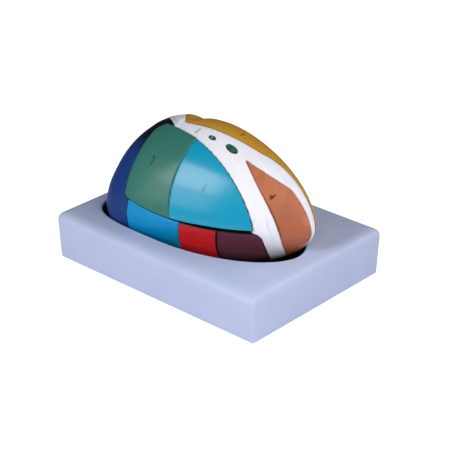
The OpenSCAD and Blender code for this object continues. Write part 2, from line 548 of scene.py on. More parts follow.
@dataclass(frozen=True)
class ThalamusForm:
    """The egg-shaped outside of the thalamus, as one formula along its length."""

    rear: float = 85.0
    front: float = 96.0
    half_width: float = 51.0
    rise: float = 65.5
    drop: float = 49.0
    widest_level: float = 54.5
    widest_x: float = -45.0
    highest_x: float = -12.0
    lean: float = 0.16
    rear_fullness: float = 3.1
    front_fullness: float = 1.6
    underside_fullness: float = 1.7
    middle_y: float = -2.0
    sway: float = 0.08
    slant: float = 0.05
    floor: float = 12.0
    least_bulge: float = 0.02
    probe: float = 0.2

    def bulge(self, x: Array, peak: float, relief: Array, fullness: float) -> Array:
        """Outline along the length, 1 at its peak.

        Args:
            x: Length.
            peak: Where the outline is fullest.
            relief: How far the surface is grown.
            fullness: Fullness of the front end.

        Returns:
            The share of the full width or height.
        """
        ends = (-self.rear - relief, self.front + relief)
        full = egg_share(x, peak, ends, (self.rear_fullness, fullness))
        return np.maximum(full, self.least_bulge)

    def section(self, x: Array, y: Array, z: Array, relief: Array) -> tuple[Array, ...]:
        """Place in the cross-section, as a share of its half width and height.

        Args:
            x: Length, from the middle of the base towards the wedge.
            y: Depth, away from the viewer.
            z: Height over the underside of the base.
            relief: How far the surface is grown.

        Returns:
            Sideways share, upward share, half width and height there.
        """
        full, under = self.front_fullness, self.underside_fullness
        wide = (self.half_width + relief) * self.bulge(x, self.widest_x, relief, full)
        up = z - self.widest_level - self.slant * x
        high = (self.rise + relief) * self.bulge(x, self.highest_x, relief, full)
        deep = (self.drop + relief) * self.bulge(x, self.highest_x, relief, under)
        high = np.where(up > 0, high, deep)
        across = (y - self.middle_y - self.sway * x - self.lean * np.maximum(up, 0)) / wide
        return across, up / high, wide, high

    def skin(self, x: Array, y: Array, z: Array, relief: Array) -> Array:
        """Distance to the outside, below zero inside it.

        Args:
            x: Length.
            y: Depth.
            z: Height.
            relief: How far the surface is grown.

        Returns:
            The signed distance.
        """
        across, upward, wide, high = self.section(x, y, z, relief)
        size = np.sqrt(across**2 + upward**2)
        safe = np.maximum(size, 1e-3)
        slope_y = across / wide / safe
        slope_z = upward / high / safe - np.where(upward > 0, slope_y * self.lean, 0)
        ends = [np.hypot(*self.section(x + s, y, z, relief)[:2]) for s in (-self.probe, self.probe)]
        slope_x = (ends[1] - ends[0]) / (2 * self.probe)
        steep = np.sqrt(slope_x**2 + slope_y**2 + slope_z**2)
        return reduce(
            np.maximum,
            [(size - 1) / steep, -x - self.rear - relief, x - self.front - relief],
        )


@dataclass(frozen=True)
class Partition:
    """The lines at which the thalamus is divided, seen from the front or from above."""

    seam: float = 0.06
    row_x: float = -46.5
    row_y: float = -5.0
    row: Border = Border((-46.5, 63), (62, 56.8), -4.6)
    posterior: Border = Border((-52.7, 68.6), (-54.6, 118))
    dorsal: Border = Border((-5, 52), (-8.5, 118), 3.2)
    ventral_lateral: Border = Border((-3.6, 10), (3, 62), 0)
    ventral_anterior: Border = Border((27.2, 10), (34.3, 62), 0)
    foot: Border = Border((59.5, 22), (66.6, 53.4), -4.4)
    foot_corner: Pair = (64.2, 56.1)
    foot_front: Border = Border((62.5, 24), (77.4, 60.8), -8.8)
    foot_shelf: tuple[Pair, ...] = ((75.4, 58.8), (0, 58.8), (0, 0), (62.5, 0))
    tail_front: Pair = (-90, 27.2)
    tail_back: Pair = (-80.6, 51)
    lamina_front: Border = Border((-36, -10.3), (70, -25.7), 0.8)
    lamina_back_rear: Border = Border((-33, -1.6), (40, 8), -1)
    lamina_back_front: Border = Border((40, 8), (104, 5.6), 7.8)
    wedge_front: Border = Border((35, -5.3), (100, -10.5), -6.1)
    wedge_back_rear: Border = Border((35, -5.3), (74, 4.6), -1.6)
    wedge_back_front: Border = Border((74, 4.6), (104, 2.4), 1.2)
    shoulder: tuple[Pair, ...] = ((-37, -10.2), (-46.5, -8.6), (-51.2, -13.2), (-56, -23))
    corner_radius: float = 5.0

    def behind(self, x: Array, y: Array, tail: Pair, *edges: Border) -> Array:
        """Space behind an edge of the lamina, seen from above.

        Args:
            x: Length.
            y: Depth.
            tail: Where the edge begins at the rear.
            *edges: The lines that it follows from there.

        Returns:
            The signed distance, below zero in that space.
        """
        line = [[tail], *(edge.points() for edge in edges), [(REACH, edges[-1].end[1])]]
        return outline_distance(x, y, np.vstack([*line, [(REACH, REACH), (-REACH, REACH)]]))

    def behind_front(self, x: Array, y: Array) -> Array:
        """Space behind the lamina's front edge, seen from above."""
        return self.behind(x, y, self.tail_front, self.lamina_front)

    def behind_back(self, x: Array, y: Array) -> Array:
        """Space behind the lamina's back edge, seen from above."""
        return self.behind(x, y, self.tail_back, self.lamina_back_rear, self.lamina_back_front)

    def wedge(self, x: Array, y: Array) -> Array:
        """Space between the lamina's front branches, seen from above."""
        back = [self.wedge_back_front.points()[::-1], self.wedge_back_rear.points()[::-1]]
        return outline_distance(x, y, np.vstack([self.wedge_front.points(), *back]))

    def foot_space(self, x: Array, z: Array) -> Array:
        """Space of the lamina's foot under the wedge, seen from the front."""
        return outline_distance(x, z, np.vstack([self.foot_front.points(), self.foot_shelf]))

    def lower_row(self, x: Array, y: Array, z: Array) -> Array:
        """Space under the row line and in front of the lamina's foot.

        Args:
            x: Length.
            y: Depth.
            z: Height.

        Returns:
            The signed distance, below zero in that space.
        """
        front = [[self.foot_corner], self.foot.points()[::-1]]
        under = [(self.foot.start[0], 0), (self.row_x, 0)]
        row = outline_distance(x, z, np.vstack([self.row.points(), *front, under]))
        return np.maximum(row, y - self.row_y)

    def ahead_of(self, line: Border, x: Array, z: Array) -> Array:
        """Space ahead of an upright line, seen from the front."""
        p = line.extended()
        return outline_distance(x, z, np.vstack([p, [(REACH * 2, p[-1][1]), (REACH * 2, p[0][1])]]))

    def over_row(self, x: Array, z: Array) -> Array:
        """Space over the row line, seen from the front."""
        p = self.row.extended()
        return outline_distance(x, z, np.vstack([p, [(p[-1][0], REACH * 2), (p[0][0], REACH * 2)]]))

    def before_shoulder(self, x: Array, y: Array) -> Array:
        """Space in front of the shoulder at the rear of the upper row."""
        ends = [(self.shoulder[0][0], REACH), (-REACH, REACH), (-REACH, self.shoulder[-1][1])]
        return -outline_distance(x, y, np.array([*ends, *self.shoulder[::-1]]))

    def over_corner(self, x: Array, z: Array, gap: Union[Array, float] = 0.0) -> Array:
        """Space over the row line and ahead of the pulvinar, with a rounded corner.

        Args:
            x: Length.
            z: Height.
            gap: How far it stays off the row line.

        Returns:
            The signed distance, below zero in that space.
        """
        sides = [self.ahead_of(self.posterior, x, z), self.over_row(x, z) + gap]
        return rounded(sides, self.corner_radius)

    def upper_row(self, x: Array, y: Array, z: Array) -> Array:
        """Space of the two nuclei over the row line."""
        behind, shoulder = self.seam - self.behind_front(x, y), self.before_shoulder(x, y)
        return reduce(np.maximum, [self.over_corner(x, z), behind, shoulder])


FORM = ThalamusForm()
LINES = Partition()


@dataclass(frozen=True)
class Stroke:
    """A straight pen stroke of an index mark, lying on a block's surface."""

    start: Point
    end: Point


def joined(*points: Point) -> tuple[Stroke, ...]:
    """Strokes drawn in one go from point to point."""
    return tuple(Stroke(a, b) for a, b in zip(points, points[1:]))


GREEN_MARK = (
    *joined((-34.6, -35.2, 97.8), (-34.7, -37.7, 94.9), (-35.0, -39.9, 92.1)),
    Stroke((-36.1, -35.4, 97.6), (-33.9, -35.7, 97.2)),
)
CYAN_MARK = joined(
    (18.2, -30.7, 89.0), (16.0, -33.5, 85.4), (17.6, -33.4, 84.7), (16.1, -34.9, 82.9)
)
TERRACOTTA_MARK = (
    Stroke((65.3, -9.8, 86.1), (67.4, -9.4, 84.8)),
    Stroke((67.9, -7.6, 86.6), (66.2, -10.9, 84.2)),
)
OCHRE_MARK = joined(
    (16.5, 9.2, 116.9), (16.6, 12.0, 116.7), (15.4, 14.4, 116.6), (18.3, 13.8, 116.1)
)
WHITE_MARK = (Stroke((-14.3, -4.1, 118.5), (-14.7, -9.4, 116.5)),)
SMALL_OVAL_MARK = (Stroke((0.9, -5.3, 116.9), (1.4, -8.2, 115.6)),)
LARGE_OVAL_MARK = (Stroke((20.0, -3.0, 113.5), (19.7, -6.9, 111.8)),)


# Finishes


@dataclass(frozen=True)
class Enamel:
    """Gloss enamel brushed by hand over a moulded block."""

    name: str
    tone: Tone
    deep: Tone
    cloud_scale: float = 38.0
    cloud_levels: Pair = (0.32, 0.72)
    cloud_share: float = 0.65
    stroke_grain: Point = (260.0, 260.0, 24.0)
    stroke_levels: Pair = (0.35, 0.75)
    mottle: float = 0.35
    line: Tone = (18, 18, 24)
    line_width: float = 0.35
    line_share: float = 0.0
    line_scale: float = 420.0
    line_wander: Pair = (-0.17, 0.18)
    line_edges: Pair = (0.3, -0.1)
    roughness: float = 0.5
    gloss_scale: float = 160.0
    gloss_wander: float = 0.12
    specular: float = 0.12
    coat: float = 0.65
    coat_roughness: float = 0.13
    # Painted shade: near black on the walls deep inside the seams between blocks, where they lie
    # below the painted skin.
    hollow_shade: Tone = (12, 12, 16)
    hollow_depth: float = 1.6
    hollow_from: float = 0.55
    hollow_roughness: float = 0.4
    ink: Tone = (22, 26, 28)
    ink_width: float = 0.42
    ink_softness: float = 0.35
    ink_share: float = 0.85
    ink_roughness: float = 0.2
    wave_scale: float = 70.0
    wave_share: float = 0.7
    bristle_grain: Point = (900.0, 900.0, 60.0)
    brush_depth: float = 0.00048

    def ink_mask(self, shader: Shader, strokes: Sequence[Stroke]) -> Value:
        """Finds where the pen strokes of an index mark lie.

        Args:
            shader: The tree to build in.
            strokes: The strokes, in millimetres of the row frame.

        Returns:
            1 on the strokes and 0 away from them.
        """
        nearest = None
        place = shader.place()
        for stroke in strokes:
            a, b = np.array(stroke.start) * MM, np.array(stroke.end) * MM
            run = b - a
            away = shader.vector("SUBTRACT", {0: place, 1: a})
            share = shader.vector("DOT_PRODUCT", {0: away, 1: run / (run @ run)}, "Value")
            foot = shader.vector("SCALE", {0: run, "Scale": share.most(0.0).least(1.0)})
            off = shader.vector("SUBTRACT", {0: away, 1: foot})
            gap = shader.vector("LENGTH", {0: off}, "Value")
            nearest = gap if nearest is None else nearest.least(gap)
        half = self.ink_width * MM
        return nearest.ramp(half * (1 + self.ink_softness), half * (1 - self.ink_softness))

    def body_colour(self, shader: Shader) -> Value:
        """Colour of the paint before lines and ink.

        Args:
            shader: The tree to build in.

        Returns:
            The colour.
        """
        cloud = shader.clouds(self.cloud_scale, self.cloud_levels)
        strokes = shader.noise(shader.stretched(self.stroke_grain), detail=3.0)
        uneven = strokes.ramp(*self.stroke_levels) * (1 - self.cloud_share)
        return shader.mix(self.tone, self.deep, (cloud * self.cloud_share + uneven) * self.mottle)

    def brush_height(self, shader: Shader) -> Value:
        """Height of the brush marks and of the slight waviness of the coat."""
        wave = shader.noise(shader.place(), self.wave_scale) * self.wave_share
        return wave + shader.noise(shader.stretched(self.bristle_grain)) * (1 - self.wave_share)

    def build(self, strokes: Sequence[Stroke] = ()) -> bpy.types.Material:
        """Builds the material.

        Args:
            strokes: Index mark inked on the block, if it has one.

        Returns:
            The material.
        """
        shader = Shader(bpy.data.materials.new(self.name))
        wall, depth = shader.mesh_value("wall"), shader.mesh_value("depth")
        colour = self.body_colour(shader)
        least, most = self.line_wander
        ragged = shader.noise(shader.place(), self.line_scale) * (most - least) + least
        rim = (wall + ragged).ramp(*(self.line_width + edge for edge in self.line_edges))
        # Painted shade: where a wall lies below the skin, down in a seam, it darkens towards near
        # black and loses its coat.
        hollow_shade = depth.ramp(self.hollow_depth * self.hollow_from, self.hollow_depth)
        colour = shader.mix(colour, self.line, rim * self.line_share)
        colour = shader.mix(colour, self.hollow_shade, hollow_shade)
        uneven = shader.noise(shader.place(), self.gloss_scale) * self.gloss_wander
        rough = uneven + (self.roughness - self.gloss_wander / 2)
        if strokes:
            ink = self.ink_mask(shader, strokes)
            colour = shader.mix(colour, self.ink, ink * self.ink_share)
            rough = rough + ink * self.ink_roughness
        rough = rough + hollow_shade * self.hollow_roughness
        return shader.surface(
            {
                "Base Color": colour,
                "Roughness": rough,
                "Coat Weight": (1 - hollow_shade) * self.coat,
                "Coat Roughness": self.coat_roughness,
                "Specular IOR Level": self.specular,
                "Normal": shader.bump(self.brush_height(shader), self.brush_depth),
            }
        )


@dataclass(frozen=True)
class ShadedEnamel(Enamel):
    """Enamel darkened to near black towards the crest, a painted shade where the top turns away
    from the light.
    """

    shade: Tone = (9, 13, 26)
    shade_levels: Pair = (0.094, 0.108)
    shade_scale: float = 90.0
    shade_wander: float = 0.008

    def body_colour(self, shader: Shader) -> Value:
        """The paint with the painted shade over it.

        Args:
            shader: The tree to build in.

        Returns:
            The colour.
        """
        loose = (shader.noise(shader.place(), self.shade_scale) - 0.5) * self.shade_wander
        shaded = (shader.along("Z") + loose).ramp(*self.shade_levels)
        return shader.mix(super().body_colour(shader), self.shade, shaded)


@dataclass(frozen=True)
class GradedEnamel(Enamel):
    """Enamel whose colour changes towards the foot as painted light, with faint patches: painted
    shade where the foot tone is darker, painted bounce light from the deck where it is lighter.
    """

    # Foot tone painted low down for the light there: darker for painted shade, lighter for painted
    # bounce light.
    foot: Tone = (166, 92, 64)
    patch: Tone = (160, 98, 68)
    foot_levels: Pair = (0.088, 0.05)
    patch_grain: Point = (110.0, 110.0, 60.0)
    patch_levels: Pair = (0.45, 0.7)
    patch_share: float = 0.55

    def body_colour(self, shader: Shader) -> Value:
        """The paint, patchy and with another tone low down that paints the light falling there.

        Args:
            shader: The tree to build in.

        Returns:
            The colour.
        """
        patches = shader.noise(shader.stretched(self.patch_grain), detail=3.0)
        patches = patches.ramp(*self.patch_levels) * self.patch_share
        body = shader.mix(super().body_colour(shader), self.patch, patches)
        return shader.mix(body, self.foot, shader.along("Z").ramp(*self.foot_levels))


@dataclass(frozen=True)
class StreakedEnamel(Enamel):
    """Enamel laid on with a dry brush, its streaks running along the band."""

    streak: Tone = (168, 172, 190)
    foot: Tone = (232, 232, 240)
    # Painted shade on the raised side facet at the front of the tail, which faces away from the
    # lamps.
    tail: Tone = (204, 206, 216)
    tail_ends: Pair = (-0.036, -0.038)
    tail_shade_width: Pair = (4.4, 3.2)
    tail_shade_share: float = 0.8
    # Painted shade low on the band, where it goes down into the recess.
    recess_shade: Tone = (70, 70, 76)
    foot_levels: Pair = (0.088, 0.05)
    recess_shade_levels: Pair = (0.032, 0.025)
    grain_along: Point = (26.0, 0.0, 26.0)
    grain_across: float = 0.8
    grain_detail: float = 2.5
    streak_levels: Pair = (0.45, 0.78)
    streak_share: float = 0.12
    foot_streak_share: float = 0.35
    cloud_scale: float = 60.0
    cloud_levels: Pair = (0.4, 0.7)

    def streaks(self, shader: Shader) -> Value:
        """Streaks that follow the band's edge.

        Args:
            shader: The tree to build in.

        Returns:
            Their strength as soft noise round 0.5.
        """
        across = shader.mesh_value("across") * self.grain_across
        sideways = shader.node("ShaderNodeCombineXYZ", {}, {"X": across, "Y": 0.0, "Z": 0.0})
        joined = shader.vector("ADD", {0: shader.stretched(self.grain_along), 1: sideways})
        return shader.noise(joined, detail=self.grain_detail)

    def body_colour(self, shader: Shader) -> Value:
        """White with grey brush streaks, greyer at the foot, with painted shade on the side facet
        at the tail's front and low down in the recess.

        Args:
            shader: The tree to build in.

        Returns:
            The colour.
        """
        height = shader.along("Z")
        low = height.ramp(*self.foot_levels)
        across = shader.mesh_value("across")
        # Painted shade on the tail's side facet, near the band's front edge at the rear.
        tail_facet_shade = shader.along("X").ramp(*self.tail_ends) * across.ramp(*self.tail_shade_width)
        lines = self.streaks(shader).ramp(*self.streak_levels)
        cloud = shader.clouds(self.cloud_scale, self.cloud_levels)
        colour = shader.mix(self.tone, self.deep, cloud * self.mottle)
        colour = shader.mix(colour, self.foot, low)
        dense = low * self.foot_streak_share + self.streak_share
        colour = shader.mix(colour, self.streak, lines * dense)
        colour = shader.mix(colour, self.tail, tail_facet_shade * self.tail_shade_share)
        # Painted shade: darker low down, in the recess below the deck.
        return shader.mix(colour, self.recess_shade, height.ramp(*self.recess_shade_levels))

    def brush_height(self, shader: Shader) -> Value:
        """Ridges left by the bristles."""
        return self.streaks(shader)


@dataclass(frozen=True)
class SatinPlastic:
    """Satin moulded plastic of the base."""

    name: str = "base_satin_plastic"
    tone: Tone = (190, 199, 230)
    deep: Tone = (180, 190, 223)
    # Painted shade: the recess walls darken with depth below the deck, to near black.
    hollow_shade: Tone = (26, 27, 36)
    hollow_depths: Pair = (0.5, 3.5)
    roughness: float = 0.42
    refraction: float = 1.46
    cloud_scale: float = 26.0
    cloud_levels: Pair = (0.35, 0.7)
    cloud_share: float = 0.5
    cloud_roughness: float = 0.05
    fine_scale: float = 1500.0
    fine_roughness: float = 0.08
    flow_grain: Point = (16.0, 16.0, 90.0)
    flow_share: float = 0.8
    waviness: float = 0.00012

    def build(self) -> bpy.types.Material:
        """Builds the material.

        Returns:
            The material.
        """
        shader = Shader(bpy.data.materials.new(self.name))
        cloud = shader.clouds(self.cloud_scale, self.cloud_levels)
        fine = shader.noise(shader.place(), self.fine_scale)
        flow = shader.noise(shader.stretched(self.flow_grain))
        inner = shader.mesh_value("inner")
        colour = shader.mix(self.tone, self.deep, cloud * self.cloud_share)
        # Painted shade deep in the recess.
        colour = shader.mix(colour, self.hollow_shade, inner.ramp(*self.hollow_depths))
        rough = self.roughness + fine * self.fine_roughness + cloud * self.cloud_roughness
        height = fine * (1 - self.flow_share) + flow * self.flow_share
        return shader.surface(
            {
                "Base Color": colour,
                "Roughness": rough,
                "IOR": self.refraction,
                "Normal": shader.bump(height, self.waviness),
            }
        )


# Pieces


@dataclass
class Block:
    """One painted block of the thalamus, meshed from its field.

    A dark line follows the walls that lined numbers, or all of them if it is empty.
    """

    name: str
    node: str
    slot: Slot
    finish: Enamel
    relief: float = 1.0
    edge: float = 0.35
    pitch: float = 0.8
    margin: float = 1.0
    smoothings: int = 2
    strokes: tuple[Stroke, ...] = ()
    lined: tuple[int, ...] = ()

    def skin(self, x: Array, y: Array, z: Array) -> Array:
        """Distance to the block's painted outside."""
        return FORM.skin(x, y, z, self.relief)

    def walls(self, x: Array, y: Array, z: Array) -> list[Array]:
        """Distances to the walls at which the block meets its neighbours."""
        raise NotImplementedError

    def shape(self, x: Array, y: Array, z: Array) -> Array:
        """Signed distance to the whole block."""
        fields = [self.skin(x, y, z), FORM.floor - z, *self.walls(x, y, z)]
        return rounded(fields, self.edge)

    def build(self) -> bpy.types.Object:
        """Meshes the block and dresses it.

        Returns:
            The piece.
        """
        low, high = (np.array(corner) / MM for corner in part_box(self.node))
        low, high = low - self.margin, high + self.margin
        points, faces = surface_net(self.shape, low, high, self.pitch)
        points = settle(points, self.shape)
        for _ in range(self.smoothings):
            points = settle(relaxed(points, faces), self.shape, passes=1)
        made = make_piece(self.name, points, [faces])
        walls = self.walls(*points.T)
        walls = [walls[i] for i in self.lined] if self.lined else walls
        keep_value(made, "wall", -reduce(np.maximum, walls))
        keep_value(made, "depth", -self.skin(*points.T))
        self.add_values(made, points)
        made.data.materials.append(self.finish.build(self.inked()))
        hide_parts(self.node)
        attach(made, "root")
        LOG.info("%s: %d points, %d faces", self.name, len(points), len(faces))
        return made

    def add_values(self, made: bpy.types.Object, points: Array) -> None:
        """Keeps further numbers on the mesh for the finish."""

    def inked(self) -> list[Stroke]:
        """Lays the strokes of the index mark on the block's surface.

        Returns:
            The strokes with their ends on the surface.
        """
        if not self.strokes:
            return []
        ends = np.array([p for s in self.strokes for p in (s.start, s.end)])
        ends = settle(ends, self.skin, passes=3, most=3.0)
        return [Stroke(tuple(a), tuple(b)) for a, b in zip(ends[::2], ends[1::2])]


@dataclass
class Pulvinar(Block):
    """The blunt rear end, which runs round behind."""

    flat_by: float = 0.8
    flat_foot: Pair = (62, 80)
    flat_crest: Pair = (112, 104)

    def skin(self, x: Array, y: Array, z: Array) -> Array:
        """The outside, a little flatter between foot and crest."""
        flat = ease(z, *self.flat_foot) * ease(z, *self.flat_crest)
        return FORM.skin(x, y, z, self.relief - self.flat_by * flat)

    def walls(self, x: Array, y: Array, z: Array) -> list[Array]:
        """Walls towards the lamina and the two rows.

        Args:
            x: Length.
            y: Depth.
            z: Height.

        Returns:
            The signed distances.
        """
        return [
            LINES.seam - LINES.behind_front(x, y),
            LINES.seam - LINES.upper_row(x, y, z),
            LINES.seam - LINES.lower_row(x, y, z),
        ]


@dataclass
class UpperNucleus(Block):
    """A nucleus over the row line."""

    ahead: bool = False
    corner_edge: float = 1.2
    under_gap: float = 0.3
    under_widening: float = 2.0
    under_ends: Pair = (-20, 30)
    behind_widening: float = 0.4
    behind_ends: Pair = (20, 50)

    def walls(self, x: Array, y: Array, z: Array) -> list[Array]:
        """Walls towards the rear and lower row, the shoulder, the lamina and the other one.

        The seams under and behind the one ahead open towards its front.

        Args:
            x: Length.
            y: Depth.
            z: Height.

        Returns:
            The signed distances.
        """
        under = self.under_gap + self.under_widening * ease(x, *self.under_ends)
        behind = self.behind_widening * ease(x, *self.behind_ends)
        side = LINES.ahead_of(LINES.dorsal, x, z)
        return [
            LINES.over_corner(x, z, LINES.seam + self.ahead * under),
            LINES.before_shoulder(x, y),
            LINES.seam + self.ahead * behind - LINES.behind_front(x, y),
            side if self.ahead else LINES.seam - side,
        ]

    def shape(self, x: Array, y: Array, z: Array) -> Array:
        """The block, with a softer edge along its free corner.

        Args:
            x: Length.
            y: Depth.
            z: Height.

        Returns:
            The signed distance.
        """
        corner, *others = self.walls(x, y, z)
        outside = rounded([self.skin(x, y, z), corner], self.corner_edge)
        return rounded([outside, FORM.floor - z, *others], self.edge)


@dataclass
class LowerNucleus(Block):
    """A nucleus of the lower row, from one upright line to the next."""

    begins: Optional[Border] = None
    ends: Optional[Border] = None

    def walls(self, x: Array, y: Array, z: Array) -> list[Array]:
        """Walls towards the upper row and the neighbours in the row.

        Args:
            x: Length.
            y: Depth.
            z: Height.

        Returns:
            The signed distances.
        """
        made = [LINES.lower_row(x, y, z)]
        if self.begins:
            made.append(LINES.ahead_of(self.begins, x, z))
        if self.ends:
            made.append(LINES.seam - LINES.ahead_of(self.ends, x, z))
        return made


@dataclass
class Oval(Block):
    """A rounded plug set into the lamina from above."""

    at: Pair = (0.0, 0.0)
    length: float = 10.0
    roundness: float = 0.52
    depth: float = 9.0

    def plan(self, x: Array, y: Array) -> Array:
        """Distance to the oval seen from above.

        Args:
            x: Length.
            y: Depth.

        Returns:
            The signed distance.
        """
        a = self.length / 2
        b = a * self.roundness
        du, dv = x - self.at[0], y - self.at[1]
        size = np.sqrt((du / a) ** 2 + (dv / b) ** 2)
        steep = np.sqrt((du / a**2) ** 2 + (dv / b**2) ** 2) / np.maximum(size, 1e-3)
        return (size - 1) / np.maximum(steep, 1e-3)

    def walls(self, x: Array, y: Array, z: Array) -> list[Array]:
        """The plug's side and its underside."""
        return [self.plan(x, y), -self.skin(x, y, z) - self.depth]


@dataclass
class Lamina(Block):
    """The forked white wall between the nuclei."""

    pockets: tuple[Oval, ...] = ()
    tail_relief: float = 0.9
    tail_ends: Pair = (-34, -39)
    foot_levels: Pair = (72, 50)
    foot_ends: Pair = (-20, 20)

    def skin(self, x: Array, y: Array, z: Array) -> Array:
        """The outside, raised where the tail turns over the crest."""
        return FORM.skin(x, y, z, self.relief + self.tail_relief * ease(x, *self.tail_ends))

    def walls(self, x: Array, y: Array, z: Array) -> list[Array]:
        """Walls towards the nuclei in front, behind and in the fork, and round the ovals.

        Args:
            x: Length.
            y: Depth.
            z: Height.

        Returns:
            The signed distances.
        """
        fork = np.maximum(LINES.wedge(x, y) - LINES.seam, -LINES.foot_space(x, z))
        return [
            LINES.behind_front(x, y),
            -LINES.behind_back(x, y),
            -fork,
            LINES.seam - LINES.lower_row(x, y, z),
            *[LINES.seam - oval.plan(x, y) for oval in self.pockets],
        ]

    def add_values(self, made: bpy.types.Object, points: Array) -> None:
        """Keeps the distance from the edge along which the brush ran.

        That is the front edge, and at the foot the edge towards the lower row.

        Args:
            made: The piece.
            points: Its points.
        """
        x, y, z = points.T
        low = ease(z, *self.foot_levels) * ease(x, *self.foot_ends)
        across = -LINES.behind_front(x, y) * (1 - low) + LINES.lower_row(x, y, z) * low
        keep_value(made, "across", across)


@dataclass
class Medial(Block):
    """The whole hidden medial side, with a low hump at its rear."""

    hump_at: Point = (-44.0, 13.0, 100.1)
    hump_radius: float = 16.0
    hump_joint: float = 1.5
    dip_x: float = -33.0
    dip_length: float = 6.0
    dip_depth: float = 2.6
    dip_behind: Pair = (2, 10)
    dip_above: Pair = (88, 108)

    def skin(self, x: Array, y: Array, z: Array) -> Array:
        """The egg shape with the hump on it and a dip ahead of the hump.

        Args:
            x: Length.
            y: Depth.
            z: Height.

        Returns:
            The signed distance.
        """
        cx, cy, cz = self.hump_at
        ball = np.sqrt((x - cx) ** 2 + (y - cy) ** 2 + (z - cz) ** 2) - self.hump_radius
        dip = np.exp(-(((x - self.dip_x) / self.dip_length) ** 2))
        dip = dip * ease(y, *self.dip_behind) * ease(z, *self.dip_above)
        egg = FORM.skin(x, y, z, self.relief - self.dip_depth * dip)
        return blended(egg, ball, self.hump_joint)

    def walls(self, x: Array, y: Array, z: Array) -> list[Array]:
        """The wall towards the lamina."""
        return [LINES.behind_back(x, y) + LINES.seam]


@dataclass
class Anterior(Block):
    """The wedge in the fork of the lamina."""

    def walls(self, x: Array, y: Array, z: Array) -> list[Array]:
        """The wedge's sides and the top of the lamina's foot."""
        return [LINES.wedge(x, y), LINES.seam - LINES.foot_space(x, z)]


